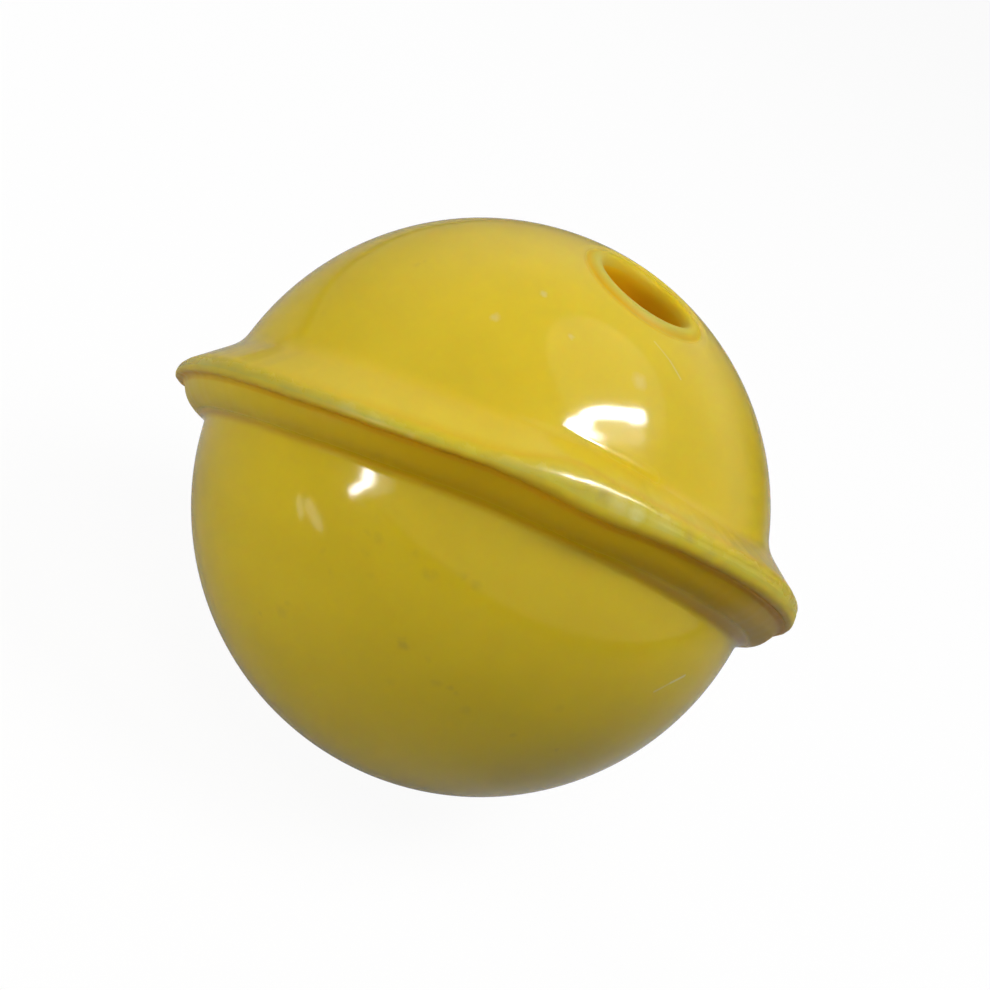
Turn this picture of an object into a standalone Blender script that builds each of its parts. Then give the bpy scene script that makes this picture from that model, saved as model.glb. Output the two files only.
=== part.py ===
"""Longline float: a hard hollow ball with a moulded flange around it and a rope bore through it.

Metres, +Z up. The float stands on the flat end of one rope mouth. +Z runs along the rope bore,
the origin is on the flat end under the ball's centre, and the flange leans over about Y.
Run it with: blender --background --python part.py
"""
import math

import bmesh
import bpy
from mathutils import Matrix, Vector

# Ball
BALL_RADIUS = 0.0635
BALL_STEP = math.radians(7.5)       # turn between two points of the ball's outline
BALL_SEGMENTS = 64                  # facets around the flange's axis

# Flange, in the ball's own axes: heights are above the ball's centre, towards the upper half
FLANGE_RADIUS = 0.0728              # outer face of the rim
RIM_TOP = 0.0049
RIM_BOTTOM = 0.0008
RIM_EDGE_RADIUS = 0.0011
SKIRT_TOP = 0.0137                  # where the upper half starts to flare out
SKIRT_BLEND = 0.0036                # length of the hollow blend on each side of that line
SHOULDER_RADIUS = 0.0686            # outer face of the lower half's flange, under the rim
SHOULDER_FOOT = -0.0032             # where that face turns in towards the ball
SHOULDER_EDGE_RADIUS = 0.0022
FLANGE_ROOT = -0.0056               # where the flange meets the lower half
ROOT_BLEND = 0.0014

# Rope bore and its two mouths
BORE_LEAN = math.radians(33.5)      # from the flange's axis to the bore
BORE_RADIUS = 0.0103
MOUTH_ROUNDING = 0.0016             # rounding from the bore out to the lip's flat end
LIP_FLAT = 0.0011                   # width of the lip's flat end
LIP_SLOPE = 0.0008                  # run of the sloping side outside it
LIP_HEIGHT = 0.0010                 # from the ball's skin to the flat end
LIP_DEPTH = 0.0060                  # how far the lip's ring reaches into the ball
BORE_SEGMENTS = 44
CUT_SPARE = 0.0050                  # how far the bore's cutter runs past each mouth

BLEND_STEPS = 3                     # points along a rounded corner

MERGE_DISTANCE = 0.000001           # points closer than this are one point
SHARP_ANGLE = math.radians(35.0)    # edges that turn more than this look sharp

YELLOW = (0.62, 0.47, 0.035, 1.0)
GLOSS_ROUGHNESS = 0.22

LIP_FLAT_INNER = BORE_RADIUS + MOUTH_ROUNDING
LIP_FLAT_OUTER = LIP_FLAT_INNER + LIP_FLAT
LIP_FOOT = LIP_FLAT_OUTER + LIP_SLOPE
HALF_HEIGHT = math.sqrt(BALL_RADIUS ** 2 - LIP_FOOT ** 2) + LIP_HEIGHT


def clear_scene():
    for obj in list(bpy.data.objects):
        bpy.data.objects.remove(obj, do_unlink=True)


def make_material(name, color, roughness):
    material = bpy.data.materials.new(name)
    material.use_nodes = True
    shader = material.node_tree.nodes["Principled BSDF"]
    shader.inputs["Base Color"].default_value = color
    shader.inputs["Roughness"].default_value = roughness
    shader.inputs["Metallic"].default_value = 0.0
    return material


def ball_point(angle):
    """Point of the ball's outline, as (radius, height), at an angle above its equator."""
    return Vector((BALL_RADIUS * math.cos(angle), BALL_RADIUS * math.sin(angle)))


def ball_arc(start, end):
    """Points of the ball's outline from one angle to another, both ends included."""
    steps = max(1, round(abs(end - start) / BALL_STEP))
    return [ball_point(start + (end - start) * i / steps) for i in range(steps + 1)]


def blend(before, corner, after):
    """Rounded corner: a curve from one point to another, pulled towards the corner."""
    points = []
    for i in range(BLEND_STEPS + 1):
        t = i / BLEND_STEPS
        points.append(before * (1 - t) ** 2 + corner * 2 * t * (1 - t) + after * t ** 2)
    return points


def rounded(corner, previous, following, reach):
    """Rounded corner that starts and ends at a given distance from the corner itself."""
    before = corner + (previous - corner).normalized() * reach
    after = corner + (following - corner).normalized() * reach
    return blend(before, corner, after)


def ball_outline():
    """Half section of the ball and its flange, from the top pole to the bottom pole."""
    skirt_angle = math.asin(SKIRT_TOP / BALL_RADIUS)
    skirt_start = skirt_angle + SKIRT_BLEND / BALL_RADIUS
    root_angle = math.asin(FLANGE_ROOT / BALL_RADIUS)
    root_end = root_angle - ROOT_BLEND / BALL_RADIUS

    skirt = ball_point(skirt_angle)
    rim_top = Vector((FLANGE_RADIUS, RIM_TOP))
    rim_bottom = Vector((FLANGE_RADIUS, RIM_BOTTOM))
    shoulder_top = Vector((SHOULDER_RADIUS, RIM_BOTTOM))
    shoulder_foot = Vector((SHOULDER_RADIUS, SHOULDER_FOOT))
    root = ball_point(root_angle)

    skirt_end = skirt + (rim_top - skirt).normalized() * SKIRT_BLEND
    root_begin = root + (shoulder_foot - root).normalized() * ROOT_BLEND

    points = ball_arc(math.pi / 2, skirt_start)[:-1]
    points += blend(ball_point(skirt_start), skirt, skirt_end)
    points += rounded(rim_top, skirt, rim_bottom, RIM_EDGE_RADIUS)
    points += rounded(rim_bottom, rim_top, shoulder_top, RIM_EDGE_RADIUS)
    points += [shoulder_top]
    points += rounded(shoulder_foot, shoulder_top, root, SHOULDER_EDGE_RADIUS)
    points += blend(root_begin, root, ball_point(root_end))
    points += ball_arc(root_end, -math.pi / 2)[1:]
    return points


def turn(name, outline, segments, material):
    """Closed body turned about Z from an outline of (radius, height) points that ends on Z."""
    bm = bmesh.new()
    verts = [bm.verts.new((max(point.x, 0.0), 0.0, point.y)) for point in outline]
    edges = [bm.edges.new(pair) for pair in zip(verts, verts[1:])]
    bmesh.ops.spin(bm, geom=verts + edges, cent=(0, 0, 0), axis=(0, 0, 1),
                   angle=math.tau, steps=segments, use_merge=True)
    bmesh.ops.remove_doubles(bm, verts=bm.verts, dist=MERGE_DISTANCE)
    bmesh.ops.recalc_face_normals(bm, faces=bm.faces)
    mesh = bpy.data.meshes.new(name)
    bm.to_mesh(mesh)
    bm.free()
    mesh.materials.append(material)
    obj = bpy.data.objects.new(name, mesh)
    bpy.context.collection.objects.link(obj)
    return obj


def make_guide(obj):
    obj.hide_render = True
    obj.display_type = "WIRE"


def lip_outline():
    """Solid plug of one mouth: its flat end, its sloping side and its foot inside the ball."""
    return [
        Vector((0.0, HALF_HEIGHT)),
        Vector((LIP_FLAT_OUTER, HALF_HEIGHT)),
        Vector((LIP_FOOT, HALF_HEIGHT - LIP_HEIGHT)),
        Vector((LIP_FOOT, HALF_HEIGHT - LIP_HEIGHT - LIP_DEPTH)),
        Vector((0.0, HALF_HEIGHT - LIP_HEIGHT - LIP_DEPTH)),
    ]


def bore_outline():
    """Half section of the space that the rope takes, with a rounded flare at both mouths."""
    mouth = Vector((BORE_RADIUS, HALF_HEIGHT))
    flare = []
    steps = 2 * BLEND_STEPS
    for i in range(steps + 1):
        angle = math.pi / 2 * i / steps
        flare.append(mouth + Vector((MOUTH_ROUNDING * (1 - math.sin(angle)),
                                     -MOUTH_ROUNDING * (1 - math.cos(angle)))))
    cut_end = HALF_HEIGHT + CUT_SPARE
    upper = [Vector((0.0, cut_end)), Vector((LIP_FLAT_INNER, cut_end))] + flare
    lower = [Vector((point.x, -point.y)) for point in reversed(upper)]
    return upper + lower


def add_boolean(body, tool, operation):
    modifier = body.modifiers.new(tool.name, "BOOLEAN")
    modifier.operation = operation
    modifier.solver = "EXACT"
    modifier.object = tool


def main():
    clear_scene()
    yellow = make_material("yellow_plastic", YELLOW, GLOSS_ROUGHNESS)

    centre = Matrix.Translation((0.0, 0.0, HALF_HEIGHT))
    body = turn("float_body", ball_outline(), BALL_SEGMENTS, yellow)
    body.data.transform(centre @ Matrix.Rotation(-BORE_LEAN, 4, "Y"))

    for name, half_turn in (("upper_lip", 0.0), ("lower_lip", math.pi)):
        lip = turn(name, lip_outline(), BORE_SEGMENTS, yellow)
        lip.data.transform(centre @ Matrix.Rotation(half_turn, 4, "X"))
        make_guide(lip)
        add_boolean(body, lip, "UNION")

    bore = turn("bore", bore_outline(), BORE_SEGMENTS, yellow)
    bore.data.transform(centre)
    make_guide(bore)
    add_boolean(body, bore, "DIFFERENCE")

    body.data.shade_smooth()
    body.data.set_sharp_from_angle(angle=SHARP_ANGLE)


main()
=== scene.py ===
"""Longline float: a hard yellow ball with a moulded flange and a rope bore, on a pale floor.

Metres, +Z up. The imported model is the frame, and the piece here stands for its one solid.
"""
import math

import bmesh
import bpy
from mathutils import Matrix, Vector, noise


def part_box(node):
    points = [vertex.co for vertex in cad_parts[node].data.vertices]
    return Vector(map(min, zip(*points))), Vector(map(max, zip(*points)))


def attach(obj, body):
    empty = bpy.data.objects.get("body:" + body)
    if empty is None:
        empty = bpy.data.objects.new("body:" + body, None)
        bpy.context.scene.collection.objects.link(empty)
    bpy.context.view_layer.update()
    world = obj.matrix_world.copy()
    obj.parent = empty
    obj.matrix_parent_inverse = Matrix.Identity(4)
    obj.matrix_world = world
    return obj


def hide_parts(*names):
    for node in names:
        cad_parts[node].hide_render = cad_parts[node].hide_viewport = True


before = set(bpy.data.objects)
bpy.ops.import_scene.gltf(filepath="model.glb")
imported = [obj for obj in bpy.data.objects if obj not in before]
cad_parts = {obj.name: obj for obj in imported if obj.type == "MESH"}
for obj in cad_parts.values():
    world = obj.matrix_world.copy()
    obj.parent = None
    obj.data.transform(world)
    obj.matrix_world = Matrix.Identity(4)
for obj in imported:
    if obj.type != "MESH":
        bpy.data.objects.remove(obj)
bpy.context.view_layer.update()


# Float shell
# The float is one hollow moulding of hard yellow plastic: a ball, a flange around its middle, and
# a rope tube from mouth to mouth. Its halves are joined at the flange, whose rim came out uneven
# and has been knocked about, so the outline changes a little on the way around.
high_corner = Vector(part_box("float_body")[1])
BALL_CENTRE = Vector((0.0, 0.0, high_corner.z / 2))
BORE_LEAN = math.radians(33.5)        # from the flange's axis to the bore
NEAR_SIDE = math.radians(-27.2)       # the flange's side towards the camera, around its axis

BALL_RADIUS = 0.06335
WAVINESS = 0.0003                     # share of the radius by which the moulded skin is uneven
RIM_RADIUS = high_corner.y - 0.0001
RIM_TOP = 0.0049
RIM_BOTTOM = 0.0013
RIM_UPPER_EDGE = 0.0020               # rounding of the rim's edges
RIM_LOWER_EDGE = 0.0022
SKIRT_TOP = 0.0134                    # where the upper half starts to flare out
SKIRT_BLEND = 0.0030
SHOULDER_RADIUS = 0.0705
SHOULDER_FOOT_RADIUS = 0.0684
SHOULDER_HEIGHT = 0.0040              # from the rim's lower edge down to the shoulder's own
SHOULDER_EDGE = 0.0028
ROOT = -0.0050                        # where the shoulder meets the lower half
ROOT_BLEND = 0.0009

# Uneven places around the flange, each given by its height in metres, and by its middle and its
# width in degrees from the near side.
RIM_TOP_SWELLS = [(0.0019, 18, 13), (0.0005, 50, 20), (-0.0008, -15, 25), (0.0008, -55, 20),
                  (-0.0013, -92, 20), (0.0011, 10, 6), (-0.0016, 78, 15)]
RIM_BOTTOM_SWELLS = [(-0.0040, 100, 33), (0.0008, -58, 22), (0.0005, 0, 9), (-0.0009, 18, 9)]
RIM_EDGE_SWELLS = [(0.0014, 11, 5)]
SKIRT_TOP_SWELLS = [(0.0003, 10, 16), (-0.0020, 50, 18)]
SKIRT_BLEND_SWELLS = [(-0.0012, 15, 30)]
ROOT_SWELLS = [(-0.0024, 62, 34), (-0.0024, 95, 24), (0.0006, -65, 18)]
GROOVE_SWELLS = [(0.00045, 52, 24)]
RIM_TILT = 0.0006                     # the rim's top is this much higher on one side
RAGGED_COARSE = 0.00016               # unevenness of the rim's upper edge
RAGGED_FINE = 0.00008
FRAYED = 0.00014                      # and of its lower edge
GROOVE_PLACE = 0.27                   # share of the way down the rim's face
GROOVE_WIDTH = 0.10
UPPER_EDGE_LIMIT = 0.55               # most of the face's height that each edge may round
LOWER_EDGE_LIMIT = 0.42
SHOULDER_CORNER = 0.0009              # rounding where the shoulder starts under the rim

AROUND_STEPS = 600
BALL_STEP = math.radians(2.0)
UPPER_ARC_END = math.radians(18.0)    # from here on the outline follows the flange
LOWER_ARC_START = math.radians(-12.0)

BORE_RADIUS = 0.0103
FLARE_WIDTH = 0.0020                  # rounding from the bore out to the lip's flat end
FLARE_DEPTH = 0.0036
LIP_FLAT = 0.0008
LIP_FOOT = 0.0146
LIP_EDGE = 0.0006                     # rounding of the lip's outer edge
LIP_FILLET = 0.0007                   # hollow rounding where the lip meets the ball
LIP_FILLET_RISE = 0.0006
LIP_CREASE_INSIDE = 0.0003            # the painted shade around the lip's foot lies this far inside it
LIP_CREASE_WIDTH = 0.0012
LIP_DROP = 0.0014                     # how far the upper lip is worn down on its far side
LIP_DROP_DEPTH = 0.0060               # depth over which that dies out in the bore
CAP_RADIUS = 0.0166                   # ball cut away around each mouth
CAP_GAP = 0.0003                      # from there to the start of the mouth's own skin
MOUTH_STEPS = 224
FLARE_STEPS = 12
BORE_RINGS = 14
BORE_DARK_FROM = 0.0055               # depth at which the bore's painted shade has its full strength
FAR_SIDE = math.radians(138)          # the upper mouth's side away from the camera
RIGHT_END = math.radians(90)          # and its end on the right of the picture
BORE_SHADE_LEFT_OUT = 0.55                     # share of the bore's painted shade that is left out there
HAIR = 0.0002                         # a distance too small to see


def swelling(side, swells):
    """Height of some smooth bumps at one place around the flange."""
    total = 0.0
    for height, middle, width in swells:
        away = (math.degrees(side) - middle + 180) % 360 - 180
        total += height * math.exp(-(away / width) ** 2)
    return total


def ball_point(angle):
    return Vector((BALL_RADIUS * math.cos(angle), BALL_RADIUS * math.sin(angle)))


def ball_arc(start, end, steps):
    return [ball_point(start + (end - start) * i / steps) for i in range(steps + 1)]


def straight(start, end, steps):
    return [start.lerp(end, i / steps) for i in range(steps + 1)]


def blend(before, corner, after, steps):
    """Rounded corner: a curve from one point to another, pulled towards the corner."""
    points = []
    for i in range(steps + 1):
        t = i / steps
        points.append(before * (1 - t) ** 2 + corner * 2 * t * (1 - t) + after * t ** 2)
    return points


def rounded(corner, before, after, reach, steps):
    """Rounded corner whose ends lie a given distance from the corner itself."""
    return blend(corner + (before - corner).normalized() * reach, corner,
                 corner + (after - corner).normalized() * reach, steps)


def ball_outline(around):
    """Half section at one place around the flange: (radius, height) points from pole to pole.

    With each point go three marks: how much it lies on the rim's worn face, in a crease, which
    carries painted shade, and on the rougher moulding below the skirt.
    """
    side = around - NEAR_SIDE
    rim_point = Vector((math.cos(around), math.sin(around), 0.0)) * RIM_RADIUS
    ragged = noise.noise(rim_point * 260) * RAGGED_COARSE + noise.noise(rim_point * 700) * RAGGED_FINE
    frayed = noise.noise(rim_point * 310 + Vector((0, 0, 5))) * FRAYED
    rim_top = RIM_TOP + RIM_TILT * math.sin(side) + swelling(side, RIM_TOP_SWELLS) + ragged
    rim_bottom = RIM_BOTTOM + swelling(side, RIM_BOTTOM_SWELLS) + frayed
    skirt_top = SKIRT_TOP + swelling(side, SKIRT_TOP_SWELLS)
    skirt_blend = SKIRT_BLEND + swelling(side, SKIRT_BLEND_SWELLS)
    root = ROOT + swelling(side, ROOT_SWELLS)
    groove = swelling(side, GROOVE_SWELLS)

    skirt_angle = math.asin(skirt_top / BALL_RADIUS)
    skirt_start = skirt_angle + skirt_blend / BALL_RADIUS
    root_angle = math.asin(root / BALL_RADIUS)
    root_end = root_angle - ROOT_BLEND / BALL_RADIUS
    skirt = ball_point(skirt_angle)
    top_edge = Vector((RIM_RADIUS, rim_top))
    bottom_edge = Vector((RIM_RADIUS, rim_bottom))
    corner = Vector((SHOULDER_RADIUS, rim_bottom))
    foot = Vector((SHOULDER_FOOT_RADIUS, rim_bottom - SHOULDER_HEIGHT))
    root_point = ball_point(root_angle)
    skirt_end = skirt + (top_edge - skirt).normalized() * skirt_blend
    root_begin = root_point + (foot - root_point).normalized() * ROOT_BLEND

    face_height = rim_top - rim_bottom
    upper_edge = min(RIM_UPPER_EDGE + swelling(side, RIM_EDGE_SWELLS), UPPER_EDGE_LIMIT * face_height)
    lower_edge = min(RIM_LOWER_EDGE, LOWER_EDGE_LIMIT * face_height)
    top_round = rounded(top_edge, skirt, bottom_edge, upper_edge, 7)
    bottom_round = rounded(bottom_edge, top_edge, corner, lower_edge, 6)
    face = straight(top_round[-1], bottom_round[0], 10)[1:-1]
    for point in top_round + face + bottom_round:
        down = (rim_top - point.y) / face_height
        point.x -= groove * math.exp(-((down - GROOVE_PLACE) / GROOVE_WIDTH) ** 2)
    corner_round = rounded(corner, bottom_edge, foot, SHOULDER_CORNER, 4)
    foot_round = rounded(foot, corner, root_point, SHOULDER_EDGE, 7)

    upper_steps = round((math.pi / 2 - UPPER_ARC_END) / BALL_STEP)
    lower_steps = round((LOWER_ARC_START + math.pi / 2) / BALL_STEP)
    # Each stretch has its points, its rim and painted-shade crease marks at both ends, and its moulding
    # mark.
    stretches = [
        (ball_arc(math.pi / 2, UPPER_ARC_END, upper_steps)[:-1], (0, 0), (0, 0), 0),
        (ball_arc(UPPER_ARC_END, skirt_start, 3)[:-1], (0, 0), (0, 0), 0),
        (blend(ball_point(skirt_start), skirt, skirt_end, 6), (0, 0), (0, 0.2), 0),
        (straight(skirt_end, top_round[0], 4)[1:-1], (0, 0), (0.1, 0), 0),
        (top_round, (0, 1), (0, 0), 0.6),
        (face, (1, 1), (0, 0), 1),
        (bottom_round, (0.7, 0), (0, 0.5), 1),
        (corner_round, (0, 0), (1, 0.8), 1),
        (straight(corner_round[-1], foot_round[0], 3)[1:-1], (0, 0), (0.2, 0), 1),
        (foot_round, (0, 0), (0, 0), 1),
        (straight(foot_round[-1], root_begin, 3)[1:-1], (0, 0), (0.1, 0.6), 0.6),
        (blend(root_begin, root_point, ball_point(root_end), 5), (0, 0), (0.8, 0), 0),
        (ball_arc(root_end, LOWER_ARC_START, 3)[1:-1], (0, 0), (0, 0), 0),
        (ball_arc(LOWER_ARC_START, -math.pi / 2, lower_steps), (0, 0), (0, 0), 0),
    ]
    marked = []
    for points, (rim_start, rim_end), (crease_start, crease_end), moulding in stretches:
        for i, point in enumerate(points):
            t = i / max(1, len(points) - 1)
            marked.append((point, rim_start + (rim_end - rim_start) * t,
                           crease_start + (crease_end - crease_start) * t, moulding))
    return marked


def mouth_outline():
    """Half section of the skin from the ball around one mouth to the middle of the bore."""
    top = BALL_CENTRE.z
    flat_inner = BORE_RADIUS + FLARE_WIDTH
    foot = Vector((LIP_FOOT, math.sqrt(BALL_RADIUS ** 2 - LIP_FOOT ** 2)))
    edge = Vector((flat_inner + LIP_FLAT, top))
    out_angle = math.acos((LIP_FOOT + LIP_FILLET) / BALL_RADIUS)
    start_angle = math.acos((CAP_RADIUS - CAP_GAP) / BALL_RADIUS)
    points = ball_arc(start_angle, out_angle, 3)[:-1]
    points += blend(ball_point(out_angle), foot, foot + (edge - foot).normalized() * LIP_FILLET_RISE, 5)
    points += rounded(edge, foot, Vector((flat_inner, top)), LIP_EDGE, 4)
    for i in range(FLARE_STEPS + 1):
        angle = math.pi / 2 * i / FLARE_STEPS
        points.append(Vector((flat_inner - FLARE_WIDTH * math.sin(angle),
                              top - FLARE_DEPTH * (1 - math.cos(angle)))))
    points += straight(points[-1], Vector((BORE_RADIUS, 0.0)), BORE_RINGS)[1:]
    return points


def turned(mesh, line, steps, sectors):
    """Spins a line of vertices about Z: one sector first, then copies of it around the circle."""
    others = set(mesh.verts) - set(line)
    edges = [mesh.edges.new(pair) for pair in zip(line, line[1:])]
    bmesh.ops.spin(mesh, geom=line + edges, cent=(0, 0, 0), axis=(0, 0, 1),
                   angle=math.tau / sectors, steps=steps // sectors)
    sector = [vert for vert in mesh.verts if vert not in others]
    parts = sector + list({part for vert in sector for part in (*vert.link_edges, *vert.link_faces)})
    bmesh.ops.spin(mesh, geom=parts, cent=(0, 0, 0), axis=(0, 0, 1), use_duplicate=True,
                   angle=math.tau * (sectors - 1) / sectors, steps=sectors - 1)
    bmesh.ops.remove_doubles(mesh, verts=[vert for vert in mesh.verts if vert not in others],
                             dist=0.000001)
    return [vert for vert in mesh.verts if vert not in others]


shell = bmesh.new()
ring = shell.verts.layers.int.new("ring")
rim_mark = shell.verts.layers.float.new("rim")
crease_shade_mark = shell.verts.layers.float.new("crease")
moulding_mark = shell.verts.layers.float.new("moulding")
bore_shade_mark = shell.verts.layers.float.new("bore")
lip_mark = shell.verts.layers.float.new("lip")

outlines = [ball_outline(math.tau * i / AROUND_STEPS) for i in range(AROUND_STEPS)]
first_line = [shell.verts.new((max(point.x, 0.0), 0.0, point.y)) for point, *_ in outlines[0]]
for i, vert in enumerate(first_line):
    vert[ring] = i
for vert in turned(shell, first_line, AROUND_STEPS, 24):
    around = math.atan2(vert.co.y, vert.co.x) % math.tau
    outline = outlines[round(around / math.tau * AROUND_STEPS) % AROUND_STEPS]
    point, rim, crease, moulding = outline[vert[ring]]
    vert.co = (point.x * math.cos(around), point.x * math.sin(around), point.y)
    vert[rim_mark] = rim
    vert[crease_shade_mark] = crease
    vert[moulding_mark] = moulding
bmesh.ops.rotate(shell, verts=shell.verts, cent=(0, 0, 0),
                 matrix=Matrix.Rotation(-BORE_LEAN, 3, "Y"))

cap_height = math.sqrt(BALL_RADIUS ** 2 - CAP_RADIUS ** 2)
cut_loops = []
for end in (1, -1):
    cut = bmesh.ops.bisect_plane(shell, geom=shell.verts[:] + shell.edges[:] + shell.faces[:],
                                 plane_co=(0, 0, end * cap_height), plane_no=(0, 0, end),
                                 clear_outer=True)
    loop = [item for item in cut["geom_cut"] if isinstance(item, bmesh.types.BMEdge)]
    cut_loops.append(loop)
for loop in cut_loops:
    for vert in {vert for edge in loop for vert in edge.verts}:
        vert.co = vert.co.normalized() * BALL_RADIUS

upper_half = mouth_outline()
lower_half = [Vector((point.x, -point.y)) for point in reversed(upper_half[:-1])]
tube_line = [shell.verts.new((point.x, 0.0, point.y)) for point in upper_half + lower_half]
for vert in tube_line:
    out, deep = vert.co.x, BALL_CENTRE.z - abs(vert.co.z)
    # Bore mark: painted shade, orange and darker the deeper the bore goes.
    if out < BORE_RADIUS + FLARE_WIDTH:
        vert[bore_shade_mark] = min(1.0, deep / BORE_DARK_FROM)
    if BORE_RADIUS + HAIR < out < LIP_FOOT + 2 * HAIR:
        vert[lip_mark] = 1.0
    # Crease mark: painted shade in a band around the lip's foot, left off on the far side below.
    vert[crease_shade_mark] = max(0.0, 1 - abs(out - LIP_FOOT + LIP_CREASE_INSIDE) / LIP_CREASE_WIDTH)
tube = set(turned(shell, tube_line, MOUTH_STEPS, 8))
flare_foot = BALL_CENTRE.z - FLARE_DEPTH
drop_width = CAP_RADIUS - LIP_FOOT + 0.001
for vert in tube:
    around = math.atan2(vert.co.y, vert.co.x)
    far_side = 0.5 + 0.5 * math.cos(around - FAR_SIDE)
    right_end = 0.5 + 0.5 * math.cos(around - RIGHT_END)
    vert[crease_shade_mark] *= 1 - far_side
    vert[bore_shade_mark] *= 1 - BORE_SHADE_LEFT_OUT * right_end ** 1.5
    inward = max(0.0, min(1.0, (vert.co.z - flare_foot + LIP_DROP_DEPTH) / LIP_DROP_DEPTH))
    outward = max(0.0, min(1.0, (CAP_RADIUS - vert.co.xy.length) / drop_width))
    if vert.co.z > 0:
        vert.co.z -= LIP_DROP * far_side ** 2 * inward * outward
tube_border = [edge for edge in shell.edges if edge.is_boundary and edge.verts[0] in tube]
for end, loop in zip((1, -1), cut_loops):
    mouth_loop = [edge for edge in tube_border if edge.verts[0].co.z * end > 0]
    bmesh.ops.bridge_loops(shell, edges=loop + mouth_loop)

for vert in shell.verts:
    if vert.co.length < BALL_RADIUS + HAIR and vert not in tube:
        vert.co *= 1 + WAVINESS * noise.noise(vert.co * 55)
bmesh.ops.translate(shell, verts=shell.verts, vec=BALL_CENTRE)
bmesh.ops.recalc_face_normals(shell, faces=shell.faces)
float_mesh = bpy.data.meshes.new("float_shell")
shell.to_mesh(float_mesh)
shell.free()
float_mesh.shade_smooth()
float_shell = bpy.data.objects.new("float_shell", float_mesh)
bpy.context.collection.objects.link(float_shell)

YELLOW = (0.648, 0.472, 0.010, 1.0)
FADED_YELLOW = (0.612, 0.442, 0.010, 1.0)
WORN_RIM = (0.47, 0.42, 0.040, 1.0)
GREY_RIM = (0.33, 0.285, 0.075, 1.0)
# Pale wear on the rim, and a painted highlight along its upper edge on the left.
PALE_WEAR_AND_SHEEN = (0.62, 0.60, 0.22, 1.0)
# Painted shade, orange-brown, in the creases under the rim, at the root and around the lip's foot.
CREASE_SHADE_BROWN = (0.62, 0.31, 0.003, 1.0)
# Painted shade on the shoulder under the rim.
UNDER_RIM_SHADE = (0.565, 0.335, 0.004, 1.0)
# Painted highlight along the upper lip.
LIP_SHEEN = (0.45, 0.437, 0.115, 1.0)
# Painted shade deep in the bore, an orange darkening.
BORE_SHADE_ORANGE = (0.95, 0.46, 0.002, 1.0)
SMUDGE = (0.36, 0.25, 0.030, 1.0)
CHIP = (0.72, 0.62, 0.26, 1.0)
BALL_ROUGHNESS = 0.09
RIM_ROUGHNESS = 0.34
SHINE = (0.5, 0.12)                   # specular level of clean plastic, and in the dull places
SOFTENING = 0.004                     # depth of the light that the plastic lets in

# Marks on the ball are placed by their angle around the flange from its near side and their angle
# above it, in degrees. Their size in metres and their strength follow. A scratch has two ends.
SMUDGES = [
    (-35.8, 36.5, 0.0012, 0.35), (-35.0, 38.0, 0.0008, 0.25),
    (-14.9, -15.9, 0.0014, 0.35), (-17.0, -15.8, 0.0010, 0.30),
    (-25.2, -21.6, 0.0012, 0.25), (-16.1, -19.1, 0.0016, 0.25), (-7.7, -16.1, 0.0012, 0.35),
    (-14.2, -22.7, 0.0012, 0.25), (-22.5, -25.1, 0.0014, 0.25),
    (-4.5, -19.0, 0.0017, 0.45), (-3.0, -18.2, 0.0012, 0.35),
    (1.9, -16.7, 0.0014, 0.45), (4.6, -17.6, 0.0014, 0.50),
    (-34.5, -35.8, 0.0022, 0.45), (-42.1, -38.1, 0.0010, 0.40), (-32.5, -34.0, 0.0012, 0.35),
    (-4.3, -33.2, 0.0014, 0.85), (-5.0, -31.8, 0.0010, 0.40), (1.7, -34.0, 0.0013, 0.25),
    (-4.5, -41.4, 0.0014, 0.30), (5.4, -38.4, 0.0014, 0.45), (8.6, -37.9, 0.0012, 0.55),
    (10.6, -38.6, 0.0010, 0.40), (14.8, -41.5, 0.0015, 0.40), (29.6, -43.0, 0.0011, 0.50),
    (44.0, -42.8, 0.0009, 0.60), (33.4, -33.5, 0.0015, 0.25),
]
CHIPS = [
    (-4.6, 39.3, 0.0009, 0.45), (-11.3, 29.6, 0.0014, 0.35), (4.6, 31.8, 0.0009, 0.40),
    (21.2, 28.7, 0.0022, 0.30),
]
SCRATCHES = [
    ((24.6, 39.4), (29.0, 36.6), 0.00030, 0.35), ((29.0, 36.6), (32.0, 33.6), 0.00034, 0.40),
    ((52.8, -23.0), (55.6, -20.2), 0.00040, 0.45), ((55.6, -20.2), (58.6, -17.8), 0.00045, 0.90),
]
# Scuffs on the rim's face are placed by their angle and their height in metres.
GREY_SCUFFS = [
    (0.0, 0.0034, 0.0040, 0.40), (4.5, 0.0034, 0.0042, 0.40), (12.5, 0.0046, 0.0036, 0.35),
    (17.0, 0.0050, 0.0026, 0.80), (20.0, 0.0042, 0.0030, 0.45), (33.0, 0.0048, 0.0020, 0.65),
    (38.0, 0.0018, 0.0028, 0.70), (41.5, 0.0016, 0.0024, 0.85), (-26.0, 0.0030, 0.0060, 0.45),
    (-34.0, 0.0030, 0.0060, 0.35), (-72.0, 0.0038, 0.0030, 0.70),
]
# The pale scuffs at -24 and -19 degrees, along the rim's upper edge on the left, are a painted
# highlight of that edge.
PALE_SCUFFS_AND_SHEEN = [
    (19.5, 0.0052, 0.0034, 0.65), (22.5, 0.0042, 0.0026, 0.75), (28.0, 0.0058, 0.0050, 0.35),
    (-24.0, 0.0038, 0.0035, 0.30), (-19.0, 0.0039, 0.0035, 0.35), (-60.0, 0.0050, 0.0060, 0.20),
    (-13.5, 0.0014, 0.0014, 0.60),
]

plastic = bpy.data.materials.new("yellow_plastic")
plastic.use_nodes = True
tree = plastic.node_tree
shader = tree.nodes["Principled BSDF"]


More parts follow.
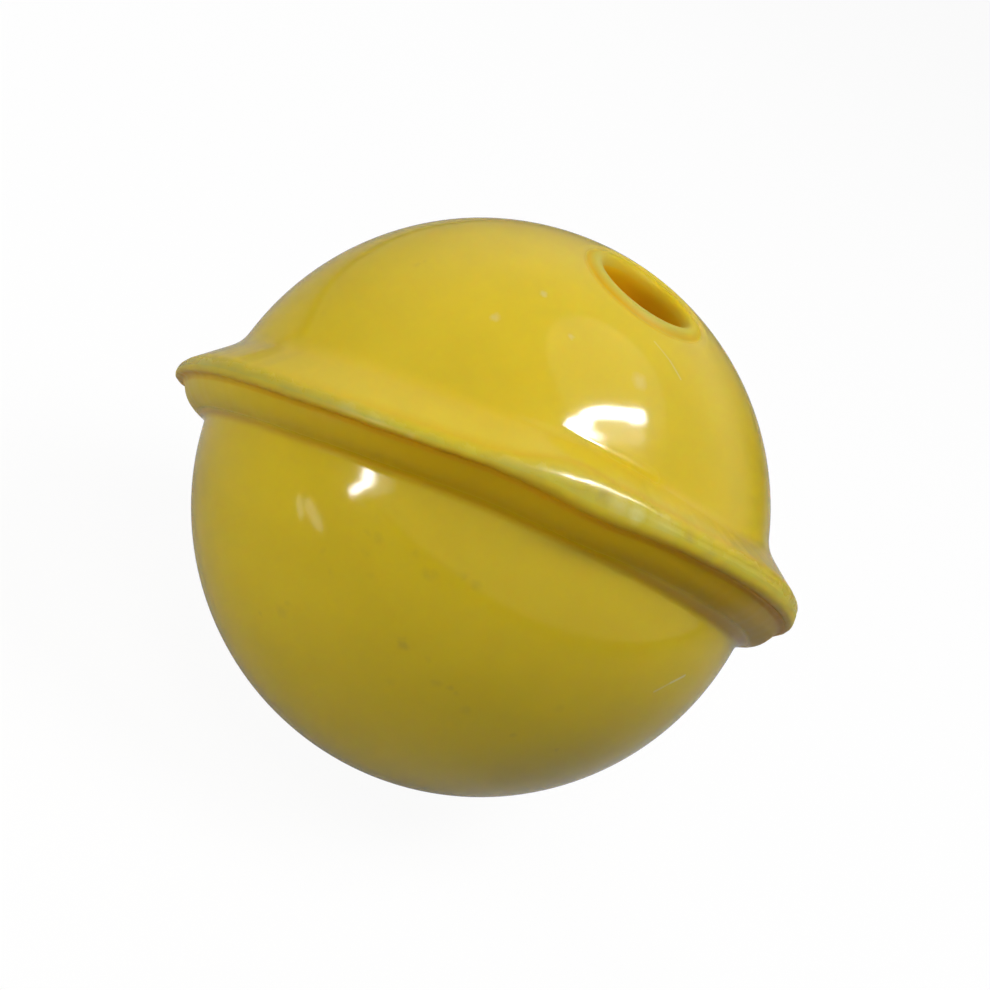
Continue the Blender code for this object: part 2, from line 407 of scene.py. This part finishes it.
def add_node(tree, kind, inputs=None, **settings):
    """One shader node, with its settings, and its inputs given as values or as sockets."""
    node = tree.nodes.new(kind)
    for name, value in settings.items():
        setattr(node, name, value)
    for name, value in (inputs or {}).items():
        if isinstance(value, bpy.types.NodeSocket):
            tree.links.new(value, node.inputs[name])
        else:
            node.inputs[name].default_value = value
    return node


def mixed(factor, first, second):
    """Colour between two others."""
    node = add_node(tree, "ShaderNodeMix", data_type="RGBA")
    for socket, value in zip((node.inputs[0], node.inputs[6], node.inputs[7]),
                             (factor, first, second)):
        if isinstance(value, bpy.types.NodeSocket):
            tree.links.new(value, socket)
        else:
            socket.default_value = value
    return node.outputs[2]


def maths(operation, first, second=0.0):
    return add_node(tree, "ShaderNodeMath", {0: first, 1: second}, operation=operation).outputs[0]


def mapped(value, low, high, to_low=0.0, to_high=1.0):
    return add_node(tree, "ShaderNodeMapRange",
                    {"Value": value, "From Min": low, "From Max": high,
                     "To Min": to_low, "To Max": to_high}).outputs[0]


def cloud(place, scale, detail=3.0, roughness=0.5):
    return add_node(tree, "ShaderNodeTexNoise",
                    {"Vector": place, "Scale": scale, "Detail": detail,
                     "Roughness": roughness}).outputs["Fac"]


def on_ball(side, angle, radius=BALL_RADIUS):
    """Point of the ball's skin from its angle around the flange and its angle above it (degrees)."""
    around = math.radians(side) + NEAR_SIDE
    angle = math.radians(angle)
    point = Vector((math.cos(angle) * math.cos(around), math.cos(angle) * math.sin(around),
                    math.sin(angle))) * radius
    return BALL_CENTRE + Matrix.Rotation(-BORE_LEAN, 3, "Y") @ point


def on_face(side, height):
    """Point of the rim's outer face from its angle around the flange (degrees) and its height."""
    return on_ball(side, math.degrees(math.atan2(height, RIM_RADIUS)), math.hypot(RIM_RADIUS, height))


def apart(first, second):
    return add_node(tree, "ShaderNodeVectorMath", {0: first, 1: second},
                    operation="DISTANCE").outputs["Value"]


def heaped(masks):
    """The strongest of several masks, each given with its strength."""
    total = None
    for mask, strength in masks:
        mask = maths("MULTIPLY", mask, strength)
        total = mask if total is None else maths("MAXIMUM", total, mask)
    return total


def stroke(start, end, width):
    """1 on a thin straight line between two points of the skin, fading out to its width."""
    along = (end - start).normalized()
    away = add_node(tree, "ShaderNodeVectorMath", {0: place, 1: start},
                    operation="SUBTRACT").outputs["Vector"]
    share = add_node(tree, "ShaderNodeVectorMath", {0: away, 1: along},
                     operation="DOT_PRODUCT").outputs["Value"]
    share = maths("MINIMUM", maths("MAXIMUM", share, 0.0), (end - start).length)
    nearest = add_node(tree, "ShaderNodeVectorMath", {0: along, "Scale": share},
                       operation="SCALE").outputs["Vector"]
    return mapped(apart(away, nearest), width, width * 0.3)


place = add_node(tree, "ShaderNodeTexCoord").outputs["Object"]
on_rim = add_node(tree, "ShaderNodeAttribute", attribute_name="rim").outputs["Fac"]
crease_shade = add_node(tree, "ShaderNodeAttribute", attribute_name="crease").outputs["Fac"]
on_moulding = add_node(tree, "ShaderNodeAttribute", attribute_name="moulding").outputs["Fac"]
deep_bore_shade = add_node(tree, "ShaderNodeAttribute", attribute_name="bore").outputs["Fac"]
on_lip = add_node(tree, "ShaderNodeAttribute", attribute_name="lip").outputs["Fac"]

# Places pushed about a little, so that the edges of the marks come out ragged.
wobble = add_node(tree, "ShaderNodeTexNoise", {"Vector": place, "Scale": 420.0, "Detail": 3.0})
shifted = add_node(tree, "ShaderNodeVectorMath",
                   {0: wobble.outputs["Color"], 1: (0.5, 0.5, 0.5)}, operation="SUBTRACT")
shifted = add_node(tree, "ShaderNodeVectorMath", {0: shifted.outputs[0], "Scale": 0.0022},
                   operation="SCALE")
ragged_place = add_node(tree, "ShaderNodeVectorMath", {0: place, 1: shifted.outputs[0]},
                        operation="ADD").outputs[0]

smudges = heaped([(mapped(apart(ragged_place, on_ball(side, angle)), size, size * 0.25), strength)
                  for side, angle, size, strength in SMUDGES])
chips = heaped([(mapped(apart(ragged_place, on_ball(side, angle)), size, size * 0.3), strength)
                for side, angle, size, strength in CHIPS])
scratches = heaped([(stroke(on_ball(*start), on_ball(*end), width), strength)
                    for start, end, width, strength in SCRATCHES])
grey_scuffs, pale_scuffs_and_sheen = [
    heaped([(mapped(apart(ragged_place, on_face(side, height)), size, size * 0.3), strength)
            for side, height, size, strength in scuffs]) for scuffs in (GREY_SCUFFS, PALE_SCUFFS_AND_SHEEN)]
left_side = mapped(apart(place, on_face(-75, 0.003)), 0.075, 0.025)

mottle = mapped(cloud(place, 34.0, 4.0, 0.6), 0.38, 0.62)
grime = mapped(cloud(place, 150.0, 5.0, 0.65), 0.35, 0.7)
hairs = add_node(tree, "ShaderNodeMapping", {"Vector": place, "Rotation": (0.5, 0.2, 0.6),
                                             "Scale": (60.0, 60.0, 1400.0)}).outputs["Vector"]
hairlines = mapped(cloud(hairs, 1.0, 2.0), 0.62, 0.72)

# Colour, from the plain plastic to what lies on top of it, with painted shade under the rim, in the
# creases and in the bore, and painted highlights on the lip and the rim's edge.
tint = mixed(mottle, YELLOW, FADED_YELLOW)
# Painted shade: the moulding under the rim, except on the left, is tinted darker and more orange.
under_rim_shade = maths("MULTIPLY", maths("SUBTRACT", on_moulding, on_rim),
                  maths("SUBTRACT", 1.0, left_side))
tint = mixed(maths("MULTIPLY", under_rim_shade, 0.85), tint, UNDER_RIM_SHADE)
# Painted shade in the creases, weaker on the left.
tint = mixed(maths("MULTIPLY", crease_shade, mapped(left_side, 0.0, 1.0, 0.75, 0.5)), tint, CREASE_SHADE_BROWN)
# Painted shade in the bore, growing with depth.
tint = mixed(deep_bore_shade, tint, BORE_SHADE_ORANGE)
# Painted highlight: a pale band on the upper lip, strongest on its side towards the camera and kept off
# the crease.
near_lip = Vector((BORE_RADIUS + FLARE_WIDTH, 0.0, high_corner.z))
near_lip.rotate(Matrix.Rotation(FAR_SIDE + math.pi, 3, "Z"))
lip_sheen = maths("MAXIMUM", maths("SUBTRACT", on_lip, crease_shade), 0.0)
lip_sheen = maths("MULTIPLY", lip_sheen, mapped(apart(place, near_lip), 0.024, 0.012, 0.0, 0.6))
tint = mixed(lip_sheen, tint, LIP_SHEEN)
rim_tint = mixed(maths("MULTIPLY", left_side, 0.55), WORN_RIM, GREY_RIM)
rim_tint = mixed(grey_scuffs, rim_tint, GREY_RIM)
# Pale scuffs, two of them a painted highlight on the rim's upper edge.
rim_tint = mixed(pale_scuffs_and_sheen, rim_tint, PALE_WEAR_AND_SHEEN)
tint = mixed(maths("MULTIPLY", on_rim, mapped(grime, 0.0, 1.0, 0.55, 1.0)), tint, rim_tint)
tint = mixed(maths("MULTIPLY", smudges, 0.45), tint, SMUDGE)
tint = mixed(maths("MAXIMUM", chips, scratches), tint, CHIP)

# Gloss: the ball is polished, and the moulded edges, worn places and mouth are duller.
roughness = mapped(mottle, 0.0, 1.0, BALL_ROUGHNESS - 0.01, BALL_ROUGHNESS + 0.02)
roughness = maths("ADD", roughness, maths("MULTIPLY", hairlines, 0.02))
polished_edge = stroke(on_face(9.0, 0.0062), on_face(13.5, 0.0066), 0.0030)
rubbed = maths("MULTIPLY", on_moulding, mapped(polished_edge, 0.0, 1.0, 1.0, 0.4))
roughness = maths("ADD", roughness, maths("MULTIPLY", rubbed, RIM_ROUGHNESS - BALL_ROUGHNESS))
roughness = maths("ADD", roughness, maths("MULTIPLY", on_rim, maths("MULTIPLY", grime, 0.12)))
roughness = maths("ADD", roughness, maths("MULTIPLY", maths("MAXIMUM", smudges, chips), 0.12))
rubbed_fold = stroke(on_ball(19.0, 13.2), on_ball(28.0, 12.2), 0.0040)
roughness = maths("ADD", roughness, maths("MULTIPLY", rubbed_fold, 0.22))
worn_mouth = maths("MAXIMUM", on_lip, maths("MINIMUM", maths("MULTIPLY", deep_bore_shade, 4.0), 1.0))
roughness = maths("ADD", roughness, maths("MULTIPLY", worn_mouth, 0.40))
clean_shoulder = mapped(apart(place, on_face(62, -0.009)), 0.016, 0.008, 0.9, 0.0)
dulled = maths("MAXIMUM", maths("MAXIMUM", worn_mouth, maths("MULTIPLY", under_rim_shade, clean_shoulder)),
               maths("MAXIMUM", crease_shade, rubbed_fold))

# Relief: a faint grain all over, and a coarser one on the rim's worn face.
height = maths("MULTIPLY", cloud(place, 700.0, 2.0), 0.10)
height = maths("ADD", height, maths("MULTIPLY", on_rim, cloud(place, 330.0, 3.0, 0.7)))
bump = add_node(tree, "ShaderNodeBump", {"Height": height, "Strength": 0.35, "Distance": 0.0001})

tree.links.new(tint, shader.inputs["Base Color"])
tree.links.new(roughness, shader.inputs["Roughness"])
tree.links.new(bump.outputs["Normal"], shader.inputs["Normal"])
tree.links.new(mapped(dulled, 0.0, 1.0, *SHINE), shader.inputs["Specular IOR Level"])
shader.inputs["IOR"].default_value = 1.36
shader.inputs["Metallic"].default_value = 0.0
shader.inputs["Subsurface Weight"].default_value = 0.5
shader.inputs["Subsurface Radius"].default_value = (1.0, 0.45, 0.05)
shader.inputs["Subsurface Scale"].default_value = SOFTENING
shader.subsurface_method = "BURLEY"
float_mesh.materials.append(plastic)

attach(float_shell, "root")
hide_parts("float_body")


# Floor and background
# A pale studio floor that runs out to white, with the float's soft shadow left in it. The float
# mirrors a dimmer room than the camera sees, darker low down and behind.
FLOOR_SIZE = 6.0
FLOOR_WHITE = 0.95                    # share of plain white in what the camera sees of the floor
FLOOR_NEAR_WHITE = 0.19               # the same for what the float mirrors of it, close by
FLOOR_FAR_WHITE = 0.09                # and further away
SOFT_SKY = 0.06
MIRRORED_SKY = (0.52, 0.76)           # low down, and from halfway up
SKY_TILT = (0.20, 0.01, 0.0)          # how much brighter it is on one side, low down
DARK_SIDE = (-0.53, 0.85, 0.02)       # direction of a dark patch low down


def ray_kinds(tree):
    """1 for rays from the camera or through a clear surface, and 1 for rays from a mirror."""
    rays = add_node(tree, "ShaderNodeLightPath").outputs
    clear = add_node(tree, "ShaderNodeMath", {0: rays["Is Camera Ray"],
                                              1: rays["Is Transmission Ray"]}, operation="MAXIMUM")
    return clear.outputs[0], rays["Is Glossy Ray"]


floor_mesh = bpy.data.meshes.new("floor")
flat = bmesh.new()
bmesh.ops.create_grid(flat, x_segments=1, y_segments=1, size=FLOOR_SIZE / 2)
flat.to_mesh(floor_mesh)
flat.free()
floor = bpy.data.objects.new("floor", floor_mesh)
bpy.context.collection.objects.link(floor)
floor_paint = bpy.data.materials.new("floor")
floor_paint.use_nodes = True
tree = floor_paint.node_tree
tree.nodes.clear()
seen, mirrored_ray = ray_kinds(tree)
spot = add_node(tree, "ShaderNodeTexCoord").outputs["Object"]
mirror_white = mapped(apart(spot, (0.0, 0.0, 0.0)), 0.16, 0.09, FLOOR_FAR_WHITE, FLOOR_NEAR_WHITE)
share = maths("ADD", maths("MULTIPLY", seen, FLOOR_WHITE),
              maths("MULTIPLY", mirrored_ray, mirror_white))
matt = add_node(tree, "ShaderNodeBsdfDiffuse",
                {"Color": mixed(seen, (0.32, 0.32, 0.32, 1.0), (0.9, 0.9, 0.9, 1.0))})
white = add_node(tree, "ShaderNodeEmission", {"Color": (1, 1, 1, 1), "Strength": 1.0})
surface = add_node(tree, "ShaderNodeMixShader", {0: share, 1: matt.outputs[0], 2: white.outputs[0]})
add_node(tree, "ShaderNodeOutputMaterial", {"Surface": surface.outputs[0]})
floor_mesh.materials.append(floor_paint)

world = bpy.data.worlds.new("studio")
bpy.context.scene.world = world
world.use_nodes = True
tree = world.node_tree
tree.nodes.clear()
seen, mirrored_ray = ray_kinds(tree)
way = add_node(tree, "ShaderNodeTexCoord").outputs["Generated"]
rise = add_node(tree, "ShaderNodeSeparateXYZ", {0: way}).outputs["Z"]
tilt = add_node(tree, "ShaderNodeVectorMath", {0: way, 1: SKY_TILT}, operation="DOT_PRODUCT")
tilt = maths("MULTIPLY", tilt.outputs["Value"], mapped(rise, 0.15, 0.55, 1.0, 0.0))
mirrored_sky = maths("ADD", mapped(rise, 0.1, 0.55, *MIRRORED_SKY), tilt)
dark = mapped(apart(way, DARK_SIDE), 0.45, 0.12, 0.0, 0.8)
mirrored_sky = maths("MULTIPLY", mirrored_sky, maths("SUBTRACT", 1.0, dark))
strength = maths("ADD", maths("MAXIMUM", seen, SOFT_SKY),
                 maths("MULTIPLY", mirrored_ray, maths("SUBTRACT", mirrored_sky, SOFT_SKY)))
sky = add_node(tree, "ShaderNodeBackground", {"Color": (1, 1, 1, 1), "Strength": strength})
add_node(tree, "ShaderNodeOutputWorld", {"Surface": sky.outputs[0]})


# Camera
# It looks at the float from the right front and a little above, turned so that the rope bore leans
# to the upper right of the picture.
PICTURE_SIZE = 990
LENS = 73.212
SENSOR = 36.0
CAMERA_AWAY = 0.4445                  # from the ball's centre, along the view
CAMERA_ASIDE = 0.00307
CAMERA_RISE = 0.00267
camera_back = Vector((0.78708, -0.4552, 0.41628)).normalized()
camera_right = Vector((-0.59097, -0.36306, 0.72038)).cross(camera_back).normalized()
camera_up = camera_back.cross(camera_right)
camera_place = (BALL_CENTRE + camera_right * CAMERA_ASIDE + camera_up * CAMERA_RISE
                + camera_back * CAMERA_AWAY)
camera = bpy.data.cameras.new("camera")
camera.sensor_width = SENSOR
camera.lens = LENS
camera.clip_start = 0.01
viewer = bpy.data.objects.new("camera", camera)
bpy.context.collection.objects.link(viewer)
viewer.matrix_world = (Matrix.Translation(camera_place)
                       @ Matrix((camera_right, camera_up, camera_back)).transposed().to_4x4())
bpy.context.scene.camera = viewer
bpy.context.scene.view_settings.view_transform = "Standard"


# Soft lamps
# Large soft lamps that light the plastic evenly. They don't show as highlights.
# Each stands in a direction given as shares of the picture's right, up and towards the camera.
SOFT_DISTANCE = 1.2
SOFT_SIZE = 0.6
SOFT_LAMPS = {
    "left_front_soft": (-0.7, 0.1, 0.7, 8.9),
    "overhead_right_soft": (0.9, 0.4, 0.35, 9.5),
    "front_soft": (0.4, 0.45, 0.8, 4.3),
    "upper_back_soft": (0.0, 1.0, -0.4, 2.8),
    "upper_left_soft": (-0.7, 0.7, 0.3, 2.6),
}


def add_lamp(name, shape, width, depth, power, place, across, facing):
    """Area lamp at a place, facing back along a direction, its width along another one."""
    lamp = bpy.data.lights.new(name, "AREA")
    lamp.shape = shape
    lamp.size = width
    lamp.size_y = depth
    lamp.energy = power
    holder = bpy.data.objects.new(name, lamp)
    bpy.context.collection.objects.link(holder)
    facing = facing.normalized()
    upright = facing.cross(across).normalized()
    turn = Matrix((upright.cross(facing), upright, facing)).transposed().to_4x4()
    holder.matrix_world = Matrix.Translation(place) @ turn
    holder.visible_camera = False
    return holder


for name, (right, up, back, power) in SOFT_LAMPS.items():
    way = (camera_right * right + camera_up * up + camera_back * back).normalized()
    soft_lamp = add_lamp(name, "DISK", SOFT_SIZE, SOFT_SIZE, power,
                         BALL_CENTRE + way * SOFT_DISTANCE, way.orthogonal(), way)
    soft_lamp.visible_glossy = False


# Highlight lamps
# Small bright lamps that the glossy ball mirrors: a bent lamp overhead and a slanted one at the
# left front. Each is given by the two ends and the thickness of its highlight in the picture, in
# pixels, its brightness and its distance.
HIGHLIGHTS = {
    "overhead_body": ((568, 424), (592, 420), 11, 100.0, 0.9),
    "overhead_shoulder": ((581, 413), (612, 411), 5, 100.0, 0.9),
    "overhead_arm": ((592, 413), (644, 416), 9, 100.0, 0.9),
    "overhead_lower_arm": ((579, 427), (601, 440), 8, 60.0, 0.9),
    "overhead_spot": ((600, 438), (614, 441), 6, 7.0, 0.9),
    "overhead_hook": ((628, 421), (642, 423), 3, 60.0, 0.9),
    "overhead_glow": ((588, 434), (646, 436), 26, 3.5, 0.9),
    "overhead_haze": ((556, 385), (662, 390), 130, 0.6, 0.9),
    "front_left": ((351, 492), (384, 474), 8, 60.0, 0.6),
    "front_left_glow": ((362, 492), (400, 482), 16, 2.0, 0.6),
    "low_streak_left": ((299, 494), (302, 520), 7, 2.4, 0.14),
    "low_streak_right": ((306, 498), (323, 532), 10, 2.6, 0.14),
}


def mirrored(pixel, distance):
    """Place, at a distance from the ball's centre, that the ball mirrors at a pixel."""
    focal = LENS / SENSOR * PICTURE_SIZE
    ray = (camera_right * (pixel[0] - PICTURE_SIZE / 2) - camera_up * (pixel[1] - PICTURE_SIZE / 2)
           - camera_back * focal).normalized()
    start = camera_place - BALL_CENTRE
    along = start.dot(ray)
    reach = -along - math.sqrt(along ** 2 - start.length_squared + BALL_RADIUS ** 2)
    spot = start + ray * reach
    bounce = ray.reflect(spot.normalized())
    onward = -spot.dot(bounce) + math.sqrt(
        spot.dot(bounce) ** 2 - spot.length_squared + distance ** 2)
    return BALL_CENTRE + spot + bounce * onward


for name, (start, end, thickness, brightness, distance) in HIGHLIGHTS.items():
    start, end = Vector(start), Vector(end)
    side = Vector((start.y - end.y, end.x - start.x)).normalized() * thickness / 2
    middle = (start + end) / 2
    across = mirrored(end, distance) - mirrored(start, distance)
    depth = (mirrored(middle + side, distance) - mirrored(middle - side, distance)).length
    place = (mirrored(start, distance) + mirrored(end, distance)) / 2
    area = across.length * depth
    shape = "ELLIPSE" if brightness < 10 else "RECTANGLE"
    lamp = add_lamp(name, shape, across.length, depth, brightness * area * math.pi,
                    place, across, place - BALL_CENTRE)
    lamp.visible_diffuse = False
